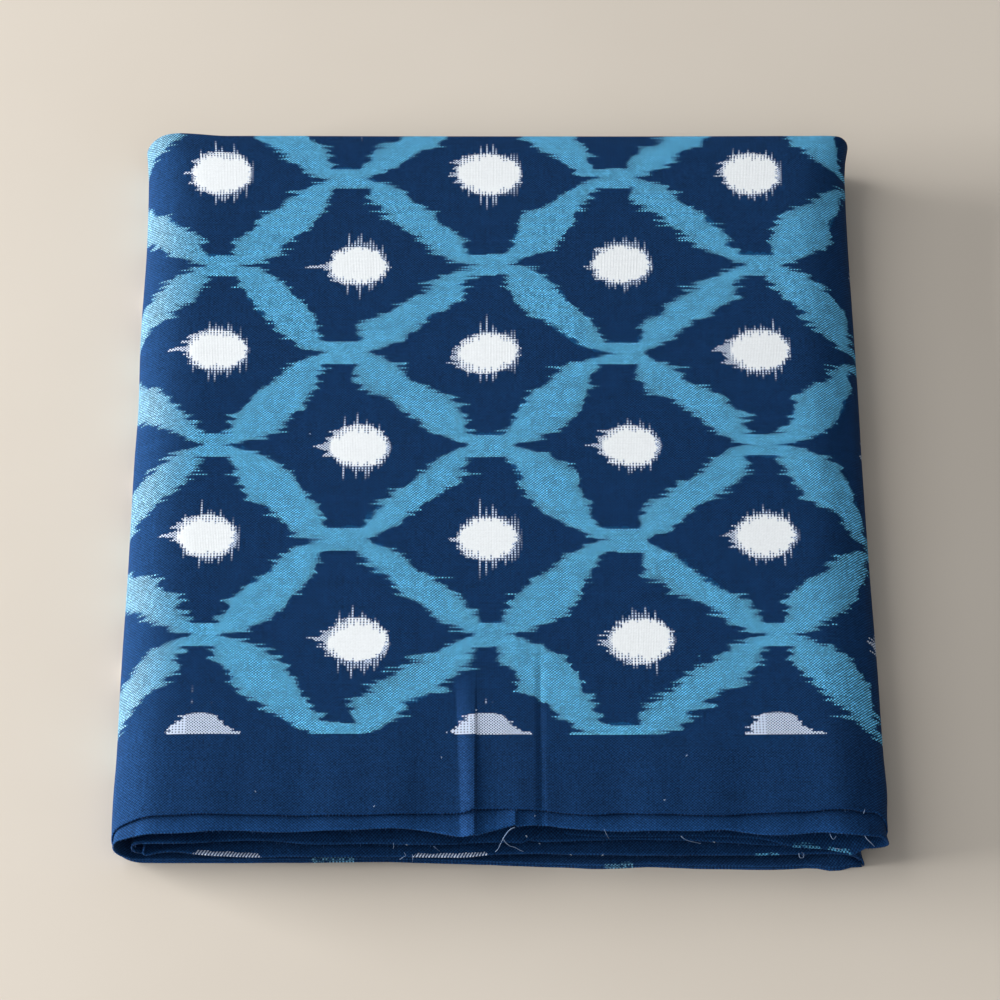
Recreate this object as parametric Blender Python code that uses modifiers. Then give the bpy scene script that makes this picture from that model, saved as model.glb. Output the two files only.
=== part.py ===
"""A length of cotton ikat cloth, folded in half across its width and then laid back and forth in four passes.

Metres, +Z up. The packet lies on z = 0 with its cut edges towards -Y, the half-fold towards +Y and the folds between
the passes at -X and +X. The cloth is one sheet: a grid whose points follow the folds, made solid by its thickness.
The origin is the middle of the packet's footprint.
"""

import math
from collections import namedtuple

import bmesh
import bpy

COLLECTION_NAME = "ikat_fabric"
CLOTH_NAME = "cloth"

# Driving sizes of the cloth and of the folded packet
CLOTH_THICKNESS = 0.0010
PLY_GAP = 0.0012
PASS_GAP = 0.0022
PACKET_WIDTH = 0.235
PACKET_DEPTH = 0.282
LEVELS = 4

# Worked out from the driving sizes. The doubled cloth has an outer ply A and an inner ply B, each PLY_OFFSET away
# from the middle of the pair. A pass is one run of the pair across the packet, on its own level.
PLY_OFFSET = (CLOTH_THICKNESS + PLY_GAP) / 2
PAIR_THICKNESS = 2 * PLY_OFFSET + CLOTH_THICKNESS
LEVEL_PITCH = PAIR_THICKNESS + PASS_GAP
FRONT_Y = -PACKET_DEPTH / 2
BACK_Y = PACKET_DEPTH / 2
HALF_WIDTH = PACKET_WIDTH / 2

# The side folds are half circles. The wrap joins the bottom and top passes round the outside at the left, and the
# small turns join passes that lie on each other.
WRAP_RADIUS = (LEVELS - 1) * LEVEL_PITCH / 2
SMALL_RADIUS = LEVEL_PITCH / 2
LEFT_TURN_X = -HALF_WIDTH + WRAP_RADIUS + PAIR_THICKNESS / 2
RIGHT_TURN_X = HALF_WIDTH - SMALL_RADIUS - PAIR_THICKNESS / 2

# The pair's way through the packet, a row for each pass, with a turn between each pass and the next. edge_a and
# edge_b are how far the front edges of the two plies reach past FRONT_Y, slant is how much further they reach at
# the right side than in the middle, and back is how far the half-fold reaches past BACK_Y.
Pass = namedtuple("Pass", "name level start_x end_x edge_a edge_b slant back")
PASSES = (
    Pass("bottom", 0, 0.1045, LEFT_TURN_X, 0.0054, 0.0036, 0.0012, -0.0008),
    Pass("top", 3, LEFT_TURN_X, RIGHT_TURN_X, 0.0000, 0.0040, 0.0000, 0.0000),
    Pass("third", 2, RIGHT_TURN_X, LEFT_TURN_X, 0.0041, 0.0033, 0.0003, -0.0012),
    Pass("second", 1, LEFT_TURN_X, 0.1032, 0.0032, 0.0050, 0.0004, -0.0004),
)

# The free end of the second pass hangs down almost to the surface, just past the free end of the bottom pass
DROOP_RADIUS = 0.0065
DROOP_ANGLE = math.radians(85)

# Creases that run back from the front edge of the top pass: each rises slowly towards its ridge and falls quickly
Crease = namedtuple("Crease", "ridge_x rise fall height length")
CREASES = (
    Crease(-0.0060, 0.0060, 0.0018, 0.0006, 0.047),
    Crease(0.0125, 0.0035, 0.0015, 0.0004, 0.060),
)

# The wavy front edges of the top pass: what each ply's edge reaches further forward, from left to right
EdgeWave = namedtuple("EdgeWave", "x edge_a edge_b")
TOP_EDGE_WAVES = (
    EdgeWave(-0.117, 0.0000, 0.0000),
    EdgeWave(-0.085, 0.0006, -0.0002),
    EdgeWave(-0.055, 0.0006, 0.0000),
    EdgeWave(-0.030, 0.0000, -0.0012),
    EdgeWave(-0.011, -0.0004, 0.0016),
    EdgeWave(0.006, -0.0018, -0.0020),
    EdgeWave(0.024, 0.0004, -0.0012),
    EdgeWave(0.040, -0.0002, 0.0000),
    EdgeWave(0.062, 0.0004, -0.0006),
    EdgeWave(0.085, -0.0008, 0.0010),
    EdgeWave(0.117, -0.0010, 0.0006),
)

# The front margins above the lowest ply lift and sag a little, each ply in its own way
FLUTTER = 0.0003
FLUTTER_LENGTH = 0.050
FLUTTER_PERIOD = 0.072
FLUTTER_SHIFT = 2.3

# The packet is thinner at its side folds than in the middle, but less so towards its back corners. It is drawn in
# halfway along, a little wider at its back corners, and softly uneven on top.
SIDE_SINK = 0.115
SIDE_SINK_WIDTH = 0.034
CORNER_LIFT = 0.8
CORNER_LIFT_LENGTH = 0.050
WAIST = 0.0022
CORNER_EAR = 0.0011
CORNER_EAR_LENGTH = 0.011
SURFACE_WAVE = 0.016
SURFACE_PERIOD_X = 0.20
SURFACE_PERIOD_Y = 0.37

# Where the sheet has its points: along a pass, round each turn, and across a ply as shares of its depth
RUN_STEP = 0.0215
WRAP_STEPS = 12
TURN_STEPS = 8
DROOP_STEPS = 5
HALF_FOLD_STEPS = 6
PLY_SHARES = (0.0, 0.022, 0.07, 0.17, 0.32, 0.49, 0.66, 0.83, 1.0)

NAVY = (0.018, 0.048, 0.125, 1.0)
COTTON_ROUGHNESS = 0.85

# A station is a place along the pair, seen from the front: its middle, the direction of its outer ply, how far the
# edges and the half-fold reach there, and its level counted in parts of a level round the turns
Station = namedtuple("Station", "x z out_x out_z reach level")


def soft_step(value):
    """0 below 0, 1 above 1, and a soft rise between."""
    value = min(1.0, max(0.0, value))
    return value * value * (3 - 2 * value)


def blend(start, end, share):
    """Two rows of numbers mixed by a share."""
    return tuple(a + share * (b - a) for a, b in zip(start, end))


def level_z(level):
    """Height of the middle of the pair on a level."""
    return PAIR_THICKNESS / 2 + level * LEVEL_PITCH


def top_edge_wave(x):
    """The top pass's two edge waves at x."""
    for left, right in zip(TOP_EDGE_WAVES, TOP_EDGE_WAVES[1:]):
        if x <= right.x:
            return blend(left[1:], right[1:], soft_step((x - left.x) / (right.x - left.x)))
    return TOP_EDGE_WAVES[-1][1:]


def pass_reach(row, x):
    """How far the two front edges and the half-fold of a pass reach at x."""
    wave_a, wave_b = top_edge_wave(x) if row.name == "top" else (0.0, 0.0)
    lean = row.slant * x / HALF_WIDTH
    return row.edge_a + wave_a + lean, row.edge_b + wave_b + lean, row.back


def pass_places(row):
    """The places along a pass in its own direction, with closer ones at the creases of the top pass."""
    steps = round(abs(row.end_x - row.start_x) / RUN_STEP)
    places = [row.start_x + (row.end_x - row.start_x) * i / steps for i in range(steps + 1)]
    if row.name == "top":
        for crease in CREASES:
            near = (crease.ridge_x - crease.rise, crease.ridge_x, crease.ridge_x + crease.fall)
            places = [x for x in places if min(abs(x - n) for n in near) > crease.rise / 2]
            places += near
    return sorted(places, reverse=row.end_x < row.start_x)


def pass_stations(row):
    """Stations along a pass. The outer ply is on top where the pass runs to the right."""
    heading = math.copysign(1, row.end_x - row.start_x)
    z = level_z(row.level)
    return [Station(x, z, 0.0, heading, pass_reach(row, x), row.level) for x in pass_places(row)]


def turn_stations(row, following):
    """Stations round the half circle that joins a pass to the following one."""
    heading = math.copysign(1, row.end_x - row.start_x)
    climb = math.copysign(1, following.level - row.level)
    radius = abs(following.level - row.level) * LEVEL_PITCH / 2
    middle_z = (level_z(row.level) + level_z(following.level)) / 2
    steps = WRAP_STEPS if radius > SMALL_RADIUS else TURN_STEPS
    here = pass_reach(row, row.end_x)
    there = pass_reach(following, row.end_x)
    # The outer ply is outside in the wrap and in the right turn, and inside in the small left turn
    side = -heading * climb
    stations = []
    for i in range(1, steps):
        angle = math.pi * i / steps
        away_x = heading * math.sin(angle)
        away_z = -climb * math.cos(angle)
        share = soft_step(i / steps)
        level = row.level + (following.level - row.level) * (1 - math.cos(angle)) / 2
        stations.append(
            Station(
                row.end_x + radius * away_x,
                middle_z + radius * away_z,
                side * away_x,
                side * away_z,
                blend(here, there, share),
                level,
            )
        )
    return stations


def droop_stations(row):
    """Stations round the short bend in which the last pass ends."""
    stations = []
    for i in range(1, DROOP_STEPS + 1):
        angle = DROOP_ANGLE * i / DROOP_STEPS
        x = row.end_x + DROOP_RADIUS * math.sin(angle)
        z = level_z(row.level) - DROOP_RADIUS * (1 - math.cos(angle))
        stations.append(Station(x, z, math.sin(angle), math.cos(angle), pass_reach(row, x), row.level))
    return stations


def pair_stations():
    """All stations of the pair, from one free end of the cloth to the other."""
    stations = []
    for row, following in zip(PASSES, PASSES[1:]):
        stations += pass_stations(row) + turn_stations(row, following)
    return stations + pass_stations(PASSES[-1]) + droop_stations(PASSES[-1])


def flutter(x, level, ply, share):
    """How far a ply's front margin stands off its flat place. The lowest ply stays on the surface below it."""
    phase = FLUTTER_SHIFT * (2 * level + (ply == "a"))
    margin = soft_step(1 - share * PACKET_DEPTH / FLUTTER_LENGTH)
    freedom = soft_step(level) if ply == "a" else 1.0
    return FLUTTER * freedom * margin * math.sin(2 * math.pi * x / FLUTTER_PERIOD + phase)


def pair_profile(station):
    """Points across the cloth as (y, offset): ply A from front to back, the half-fold, and ply B to the front."""
    edge_a, edge_b, back = station.reach
    fold_y = BACK_Y + back - PLY_OFFSET - CLOTH_THICKNESS / 2
    front_a = FRONT_Y - edge_a
    front_b = FRONT_Y - edge_b
    points = []
    for share in PLY_SHARES:
        lift = flutter(station.x, station.level, "a", share)
        points.append((front_a + (fold_y - front_a) * share, PLY_OFFSET + lift))
    for i in range(1, HALF_FOLD_STEPS):
        angle = math.pi * i / HALF_FOLD_STEPS
        points.append((fold_y + PLY_OFFSET * math.sin(angle), PLY_OFFSET * math.cos(angle)))
    for share in reversed(PLY_SHARES):
        lift = flutter(station.x, station.level, "b", share)
        points.append((front_b + (fold_y - front_b) * share, lift - PLY_OFFSET))
    return points


def crease_height(x, y):
    """Height of the creases at a place on the top pass."""
    height = 0.0
    for crease in CREASES:
        width = crease.rise if x < crease.ridge_x else crease.fall
        across = soft_step(1 - abs(x - crease.ridge_x) / width)
        along = 1 - soft_step((y - FRONT_Y) / crease.length)
        height += crease.height * across * along
    return height


def settle(x, y, z):
    """Where a point of the square-built packet lies once the packet has settled."""
    lowest_z = CLOTH_THICKNESS / 2
    side = soft_step(1 - (HALF_WIDTH - abs(x)) / SIDE_SINK_WIDTH)
    side *= 1 - CORNER_LIFT * soft_step(1 - (BACK_Y - y) / CORNER_LIFT_LENGTH)
    wave = math.sin(2 * math.pi * x / SURFACE_PERIOD_X + 0.6) * math.cos(2 * math.pi * y / SURFACE_PERIOD_Y - 0.4)
    scale = 1 - SIDE_SINK * side + SURFACE_WAVE * wave
    top_pass_bottom = level_z(LEVELS - 1) - PAIR_THICKNESS / 2
    top_share = soft_step((z - top_pass_bottom + PASS_GAP) / PASS_GAP)
    settled_z = lowest_z + (z - lowest_z) * scale + crease_height(x, y) * top_share
    half_along = y / BACK_Y
    waist = WAIST * (1 - half_along * half_along)
    ear = CORNER_EAR * soft_step(1 - (BACK_Y - y) / CORNER_EAR_LENGTH)
    return x * (1 - (waist - ear) / HALF_WIDTH), y, settled_z


def make_cloth(collection):
    """The whole cloth: a grid bent onto the folds, with a Solidify modifier for its thickness."""
    stations = pair_stations()
    profiles = [pair_profile(station) for station in stations]
    along = len(stations) - 1
    across = len(profiles[0]) - 1
    furthest_front = min(y for profile in profiles for y, _ in profile)
    centre_y = (furthest_front + BACK_Y) / 2
    bm = bmesh.new()
    bmesh.ops.create_grid(bm, x_segments=along, y_segments=across, size=0.5)
    for vert in bm.verts:
        i = round((vert.co.x + 0.5) * along)
        j = round((vert.co.y + 0.5) * across)
        station = stations[i]
        y, offset = profiles[i][j]
        x, y, z = settle(station.x + station.out_x * offset, y, station.z + station.out_z * offset)
        vert.co = (x, y - centre_y, z)
    bmesh.ops.recalc_face_normals(bm, faces=bm.faces)
    mesh = bpy.data.meshes.new(CLOTH_NAME)
    bm.to_mesh(mesh)
    bm.free()
    mesh.shade_smooth()
    cloth = bpy.data.objects.new(CLOTH_NAME, mesh)
    collection.objects.link(cloth)
    solid = cloth.modifiers.new("thickness", "SOLIDIFY")
    solid.thickness = CLOTH_THICKNESS
    solid.offset = 0.0
    solid.use_even_offset = True
    return cloth


def cotton_material():
    """Plain navy cotton, the ground colour of the cloth."""
    material = bpy.data.materials.new("navy_cotton")
    material.use_nodes = True
    shader = material.node_tree.nodes["Principled BSDF"]
    shader.inputs["Base Color"].default_value = NAVY
    shader.inputs["Roughness"].default_value = COTTON_ROUGHNESS
    shader.inputs["Metallic"].default_value = 0.0
    material.diffuse_color = NAVY
    return material


def main():
    for old in list(bpy.data.objects):
        bpy.data.objects.remove(old, do_unlink=True)
    collection = bpy.data.collections.new(COLLECTION_NAME)
    bpy.context.scene.collection.children.link(collection)
    cloth = make_cloth(collection)
    cloth.data.materials.append(cotton_material())


main()
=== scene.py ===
"""Looks of a folded ikat cloth: one thin sheet on the folds of the CAD's cloth, woven in a dyed-thread material.

Metres, +Z up, in the CAD's own frame. The sheet is folded in half across its width, with the half-fold at the back,
and then laid back and forth in four passes. Ply A is outside in the wrap at the left, and ply B is inside.
"""

import math
import random
from collections import namedtuple
from functools import partialmethod, reduce

import bmesh
import bpy
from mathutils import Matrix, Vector, noise


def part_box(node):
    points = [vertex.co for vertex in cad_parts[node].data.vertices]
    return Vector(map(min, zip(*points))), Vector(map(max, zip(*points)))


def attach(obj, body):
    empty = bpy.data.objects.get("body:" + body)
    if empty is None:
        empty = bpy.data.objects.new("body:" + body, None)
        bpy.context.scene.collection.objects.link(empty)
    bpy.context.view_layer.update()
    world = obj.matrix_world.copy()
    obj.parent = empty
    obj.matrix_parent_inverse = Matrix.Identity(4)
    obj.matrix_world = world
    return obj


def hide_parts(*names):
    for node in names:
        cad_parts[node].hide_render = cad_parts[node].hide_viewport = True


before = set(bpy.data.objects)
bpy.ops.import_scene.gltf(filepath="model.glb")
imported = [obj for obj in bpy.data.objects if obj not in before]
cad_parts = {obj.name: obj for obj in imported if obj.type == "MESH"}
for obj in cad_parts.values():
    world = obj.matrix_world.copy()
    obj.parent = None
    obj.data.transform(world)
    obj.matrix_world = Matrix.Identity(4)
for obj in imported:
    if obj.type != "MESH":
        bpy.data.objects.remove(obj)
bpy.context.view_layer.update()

BODY = "root"
NODE = "cloth"

# Sizes of the folded packet. FRONT_Y and BACK_Y are measured from the middle of the passes, which CENTRE_Y puts in
# the frame, because the half-fold is at the back of the CAD's box.
PACKET_WIDTH = 0.235
PACKET_DEPTH = 0.282
HALF_WIDTH = PACKET_WIDTH / 2
FRONT_Y = -PACKET_DEPTH / 2
BACK_Y = PACKET_DEPTH / 2
CENTRE_Y = BACK_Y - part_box(NODE)[1].y
SHEET_THICKNESS = 0.0005
MILLIMETRE = 0.001

# Height of the middle of the pair of plies on each level, and how far each ply lies from it
LEVEL_Z = (0.00070, 0.00605, 0.01145, 0.01845)
LEVEL_OFFSET = (0.00045, 0.00045, 0.00045, 0.00065)
TOP_LEVEL = 3
LEFT_TURN_X = -0.1080
INNER_LEFT_X = -0.1063
TOP_LEFT_X = -0.1039
RIGHT_TURN_X = 0.1128
UNDER_RIGHT_X = 0.1091

# The pair's way through the packet, a row for each pass with a turn between each and the next. back is how far the
# half-fold reaches past BACK_Y. nose is how much further apart the plies lie in the turn after the pass, or below 0
# how much nearer.
Pass = namedtuple("Pass", "name level start_x end_x back nose")
PASSES = (
    Pass("bottom", 0, 0.1085, LEFT_TURN_X, -0.0008, -0.0002),
    Pass("top", TOP_LEVEL, TOP_LEFT_X, RIGHT_TURN_X, 0.0000, -0.0002),
    Pass("third", 2, UNDER_RIGHT_X, INNER_LEFT_X, -0.0012, 0.0015),
    Pass("second", 1, INNER_LEFT_X, 0.1036, -0.0004, 0.0000),
)

# The front margins from left to right, in millimetres: how far each ply's edge reaches past FRONT_Y, and how far the
# margin of each pair hangs down there, or below 0 bulges up behind the edge
Margins = namedtuple(
    "Margins",
    "x top_a top_b third_a third_b second_a second_b bottom_a bottom_b top_hang third_hang second_hang bottom_hang",
)
MARGINS = [Margins(*row) for row in (
    (-112, -0.3, 5.2, 3.4, 5, 6.2, 4.7, 4.1, 3.8, 0, 0, 0, 0),
    (-108, -0.3, 5.2, 3.4, 5, 6.2, 4.7, 4.1, 3.8, 0, 0, 0, 0),
    (-103, -0.4, 5.4, 3.4, 5, 5.2, 3.7, 4.2, 3.9, 0.1, 0, 0, 0),
    (-98, -0.5, 5.4, 3.5, 5.1, 4.7, 3.2, 4.2, 3.9, 0.2, 0, 0, 0),
    (-92, -0.6, 5.3, 2.5, 4.1, 5, 3.5, 4.2, 3.9, 0.2, 1.3, 0.5, 0),
    (-86, -0.5, 4.8, 1.1, 2.7, 5.4, 3.9, 4.2, 3.9, 0.2, 2.6, 0.9, 0),
    (-78, -0.5, 4.6, 1.1, 2.7, 5.6, 4.1, 4.2, 3.9, 0.2, 2.6, 0.9, 0),
    (-68, -0.3, 5.2, 1.2, 2.8, 5.8, 4.3, 4.1, 3.8, 0.2, 2.6, 0.9, 0),
    (-58, -0.2, 4.7, 2.3, 3.9, 5.9, 4.4, 4.1, 3.8, 0.2, 2.6, 0.9, 0),
    (-46, -0.1, 4.5, 1.8, 3.4, 6, 4.5, 3.9, 3.6, 0.2, 2.7, 0.9, 0),
    (-34, -0.5, 3.8, 2.1, 3.7, 5.6, 4.1, 3.8, 3.5, 0.2, 2.7, 0.9, 0),
    (-26, -0.9, 4, 2.3, 3.9, 5.8, 4.3, 4.1, 3.8, 0.2, 2.7, 0.9, 0),
    (-20, -1.2, 4.8, 2.5, 4.1, 5.8, 4.3, 4.3, 4, 0.2, 2.7, 0.9, 0),
    (-15, -1.1, 6, 2.3, 3.9, 5.9, 4.4, 4.5, 4.2, 0.2, 2.7, 0.9, 0),
    (-11, -1.2, 6.8, 1.8, 3.4, 6.1, 4.6, 4.6, 4.3, 0.2, 2.7, 0.9, 0),
    (-7, -2.6, 6, 1.4, 3, 5.8, 4.3, 4.8, 4.5, 0.2, 2.7, 0.9, 0),
    (-3, -2.8, 4.6, 1.3, 2.9, 5.1, 3.6, 4.9, 4.6, 0.2, 2.7, 0.9, 0),
    (2, -2.7, 3.4, 1.3, 2.9, 4.7, 3.2, 5.2, 4.9, 0.2, 2.7, 0.9, 0),
    (7, -2.4, 2.8, 1.3, 2.9, 4.6, 3.1, 5.4, 5.1, 0.2, 2.7, 0.9, 0),
    (13, -2.2, 2.4, 2.1, -0.2, 4.5, 3, 5.7, 5.4, 0.2, 2.7, 0.9, 0),
    (20, -1.3, 3.3, 2.1, 0.2, 4.6, 3.1, 5.9, 5.6, 0.2, 2.7, 0.9, 0),
    (28, -0.7, 4, 1.6, 0.7, 5, 3.5, 6.4, 6.1, 0.2, 2.7, 0.9, 0),
    (36, -1.5, 4.4, 1.4, 0.8, 5.2, 3.7, 6.2, 5.9, 0.2, 2.8, 0.9, 0),
    (44, -0.8, 4.5, 1.1, 0.5, 5.3, 3.8, 5.7, 5.4, 0.2, 2.8, 0.9, 0),
    (52, -0.8, 4.5, 1.3, 0.4, 5.3, 3.8, 6, 5.7, 0.2, 2.8, 0.9, 0),
    (60, -0.3, 4.6, 1.8, 0.6, 4.9, 3.4, 6.4, 6.1, 0.2, 2.8, 0.9, 0),
    (68, -0.4, 4.2, 2.4, 0.9, 5.1, 3.6, 6.5, 6.2, 0.2, 2.8, 0.9, 0),
    (76, -1.3, 5.4, 3.1, 1.5, 5.1, 3.6, 6.7, 6.4, 0.2, 3, 0.9, 0),
    (82, -1.3, 6.1, 3.2, 2.2, 5.1, 3.6, 6.7, 6.4, 0.2, 3.2, 0.9, 0),
    (88, -1.5, 5.8, 2.5, 4.1, 5.2, 3.7, 6.4, 6.1, 0.2, 3.4, 0.9, 0),
    (94, -1.8, 5.2, 2.6, 4.2, 4.8, 3.3, 6.1, 5.8, 0.2, 4, 0.9, -0.3),
    (98, -2.1, 5.4, 2.7, 4.3, 4.8, 3.3, 7.1, 6.8, 0.2, 4.4, 0.6, -0.8),
    (102, -2.3, 5.9, 3.2, 4.8, 5.1, 3.6, 6.9, 6.6, 0.1, 4.9, 0.3, -2.4),
    (106, -2.4, 5.9, 4.3, 5.9, 5.6, 4.6, 5.7, 5.4, 0, 4.9, 0.2, -2),
    (110, -2.2, 5.6, 3.5, 5.1, 5.2, 4.2, 5.7, 5.4, 0, 1.4, 0.1, 0),
    (114, -3, 5, 3.5, 5.1, 5.2, 4.2, 5.7, 5.4, 0, 0.2, 0.1, 0),
    (118, -3, 5, 3.5, 5.1, 5.2, 4.2, 5.7, 5.4, 0, 0, 0, 0),
)]
HANG_LENGTH = 0.010
BULGE_RISE = 0.006
BULGE_LENGTH = 0.016

# The free end of the second pass hangs down almost to the surface
DROOP_RADIUS = 0.0050
DROOP_ANGLE = math.radians(100)

# Creases and press lines of the top pass: a cross-section as (x, height), how far it runs back from the front edge,
# over what length it fades there, and the plies that have it
Crease = namedtuple("Crease", "section length fade plies")
CREASES = (
    Crease(
        ((-0.0133, 0), (-0.0129, 0.00003), (-0.0081, 0.00062), (-0.0077, 0.00066), (-0.0071, 0.00006), (-0.0064, 0)),
        0.064, 0.064, "ab",
    ),
    Crease(
        ((0.0104, 0), (0.0108, -0.00003), (0.0123, -0.00028), (0.0127, -0.00027), (0.0141, -0.00002), (0.0150, 0)),
        0.066, 0.014, "ab",
    ),
    Crease(((-0.0010, 0), (0.0020, 0.0004), (0.0046, 0.0009), (0.0052, 0.0001), (0.0056, 0)), 0.012, 0.008, "b"),
    Crease(((-0.0262, 0), (-0.0251, -0.00003), (-0.0240, 0)), 0.120, 0.060, "ab"),
)
# Painted highlights on the crease slopes that face the light from the left: from and to, how far back each runs, and
# how much of the full lightening it gets. Each leans by the lean below as it runs back from the pivot below.
Rub = namedtuple("Rub", "start end length share")
CREASE_HIGHLIGHTS = (Rub(-0.0129, -0.0080, 0.054, 1.0), Rub(0.0126, 0.0142, 0.058, 0.40))
CREASE_HIGHLIGHT_LEAN = 0.040
CREASE_HIGHLIGHT_PIVOT = 0.020
CREASE_HIGHLIGHT_SOFT_LEFT = 0.0006
CREASE_HIGHLIGHT_SOFT_RIGHT = 0.0026

# How the packet has settled
SIDE_SINK = 0.082
SIDE_SINK_WIDTH = 0.020
RIGHT_SINK = 0.13
RIGHT_SINK_WIDTH = 0.0145
CORNER_LIFT = 0.8
CORNER_LIFT_LENGTH = 0.050
# How far in the two sides lie, in millimetres, at places measured back from the front edge: (place, left, right)
SIDES = (
    (-7, -1.3, -2.3), (-2, -0.7, -1.1), (4, -0.8, -0.9), (14, -0.8, -1.3), (28, -0.5, -0.8), (60, -0.6, -0.5),
    (100, -0.25, 0.25), (145, -0.25, 0.7), (168, 0.1, 0.7), (200, -0.5, 0.95), (235, -0.1, 1.3), (262, -0.5, 1.25),
    (273, -1.0, 0.9), (279, -1.8, -0.3), (282, -1.7, -0.3),
)
# The back edge is a little hollow, up to the thick corner at the left
BACK_HOLLOW = 0.0013
BACK_HOLLOW_LENGTH = 0.030
THICK_CORNER_X = -0.090
THICK_CORNER_LENGTH = 0.016
# The two back corners stand up a little
CORNER_RISE = 0.0016
CORNER_RISE_X = 0.102
CORNER_RISE_LENGTH = 0.014
# A slow wave of the whole packet, as a share of its height
SURFACE_WAVE = 0.016
SURFACE_PERIOD_X = 0.20
SURFACE_PERIOD_Y = 0.37
SURFACE_PHASE_X = 0.6
SURFACE_PHASE_Y = -0.4
# Small unevenness of the top, and of the loose margins along the front. The margins of each level wave on their own.
RELIEF = 0.00016
RELIEF_SIZE = 0.045
RELIEF_SEED = 3.7
MARGIN_LENGTH = 0.045
MARGIN_WAVE = 0.00025
MARGIN_PERIOD = 0.047
MARGIN_PHASE = 2.3
SHORT_WAVE = 0.6
SHORT_PERIOD = 0.0191
SHORT_PHASE = 1.7

# Steps of the mesh
TOP_STEP = 0.0022
KINK_STEP = 0.0002
CLOSEST_STEP = 0.00012
RUN_STEP = 0.0034
WRAP_STEPS = 24
TURN_STEPS = 12
DROOP_STEPS = 8
HALF_FOLD_STEPS = 8
FIRST_STEP_Y = 0.0008
STEP_GROWTH = 1.20
LARGEST_STEP_Y = 0.0066

# The weave and the pattern. A repeat of the lattice is REPEAT_X by REPEAT_Y. PATTERN_SHIFT_X puts a crossing of its
# bands at x = 0, and PATTERN_ROW is the row of the lattice that lies at FRONT_Y.
THREAD_PITCH = 0.000506
REPEAT_X = 0.0886
REPEAT_Y = 0.0771
PATTERN_SHIFT_X = 0.54
PATTERN_ROW = 3.386
BORDER_ROW = 2.990
DOT_POWER = 1.9

# Bits of the pattern that show on the lower margins: the pass and ply, where in millimetres, how far in from the cut
# edge, and whether the threads are white or blue there
Mark = namedtuple("Mark", "part plies x half_width depth dye")
MARKS = (
    Mark("second", "a", -82.3, 10.4, 1.5, "white"),
    Mark("second", "a", -15.0, 11.6, 1.3, "white"),
    Mark("bottom", "ab", -50.5, 6.4, 1.0, "blue"),
    Mark("bottom", "ab", 35.6, 4.4, 0.7, "blue"),
    Mark("second", "a", 80.0, 3.8, 0.8, "blue"),
    Mark("third", "b", 92.0, 4.3, 1.0, "blue"),
    Mark("third", "b", 101.7, 3.6, 1.0, "blue"),
)

# Loose threads at the cut edges: the radius, and a path of (x, how far in front of FRONT_Y, z), all in millimetres
LOOSE_THREADS = (
    (0.17, (
        (4.5, 3.6, 18), (3, 4.7, 18.3), (1.5, 6.3, 17.5), (0.4, 7, 15), (-0.5, 7.5, 12.5), (-1.4, 7.7, 11),
    )),
    (0.14, (
        (0.9, 5.8, 15.5), (1.6, 5.9, 13.5), (3, 6.2, 12), (4.5, 6.4, 11.5), (6.2, 6.8, 10.5), (7.1, 6.9, 10),
    )),
    (0.15, ((54.8, 3.4, 13.2), (55.6, 4.4, 13.4), (56.9, 4.8, 12.8), (58.8, 4.8, 12), (60.9, 4.8, 11.2))),
    (0.09, ((-26.6, 6.2, 7.5), (-26.5, 6.9, 6.8), (-26.6, 7.2, 5.6), (-26.6, 7.1, 4.6))),
    (0.17, ((110.1, 5.2, 16.5), (110.8, 6.3, 16), (111.9, 6.5, 14.5), (112.8, 6.4, 13), (113.4, 6.3, 11.8))),
    (0.14, ((99.7, 5.2, 17), (100.1, 6.5, 17), (100.8, 7, 16.6), (101.6, 6, 17))),
    (0.07, ((110, -1.1, 18.6), (110.4, -1.8, 19.1), (110.5, -2.6, 18.9))),
    (0.05, ((104.4, -2.7, 18.9), (104.6, -1.4, 19))),
    (0.12, ((90.6, 7.1, 9.5), (90.8, 8.5, 9.3), (91.8, 8.6, 9.2), (92.1, 7.5, 9.4), (91.4, 7, 9.6))),
    (0.09, ((-32.3, 5.1, 12), (-32.2, 5.8, 11), (-32.4, 5.9, 10))),
    (0.11, ((-30.4, 7.3, 6.5), (-29.5, 7.1, 7.2), (-28.6, 6.9, 8), (-29.1, 6.6, 9))),
    (0.09, ((-20.1, 6, 11.5), (-19.2, 6.2, 10.4), (-18.3, 6.5, 9.6))),
    (0.07, ((31.4, 4.1, 18), (32.2, 5.5, 17), (33, 5.8, 15))),
    (0.11, ((101.5, 6.1, 10.5), (102.7, 6.6, 11), (103.6, 6.6, 10.5))),
)
# Specks of lint, in the same coordinates: on the margins at the height given, and on top where it is None
LINT = (
    (8, 5.2, 15.5), (11.9, 5.4, 12), (21.5, 7, 8.5), (31.1, 7, 8.3), (-28.2, 5.5, 11.5), (64.9, 4.8, 12),
    (49.9, -5.2, None), (10.6, -0.5, None), (-38.1, -2.9, None), (-17.8, -21.3, None), (-7.2, -39.3, None),
    (-74.3, -8.3, None), (57, -22, None), (-61, -150, None),
)
LINT_RADIUS = 0.00008
LINT_SPREAD = 0.00035
LINT_RISE = 0.0004
# Short thread ends that stand out of the cut edges, where they lie higher than ENDS_ABOVE
END_SPACING = (0.0006, 0.0022)
END_LENGTHS = (0.0002, 0.0003, 0.0005, 0.0009)
END_RADIUS = 0.00008
ENDS_ABOVE = 0.0035

# The photograph's view: how far behind FRONT_Y and how high it looks, from where, and the focal length in millimetres
VIEW_BACK = 0.1226
VIEW_HEIGHT = 0.0194
VIEW_ELEVATION = math.radians(51)
VIEW_DISTANCE = 1.646
VIEW_LENS = 186.7

Station = namedtuple("Station", "part x z out_x out_z offset margins back level")


def soft_step(value):
    """0 below 0, 1 above 1, and a soft rise between."""
    value = min(1.0, max(0.0, value))
    return value * value * (3 - 2 * value)


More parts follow.
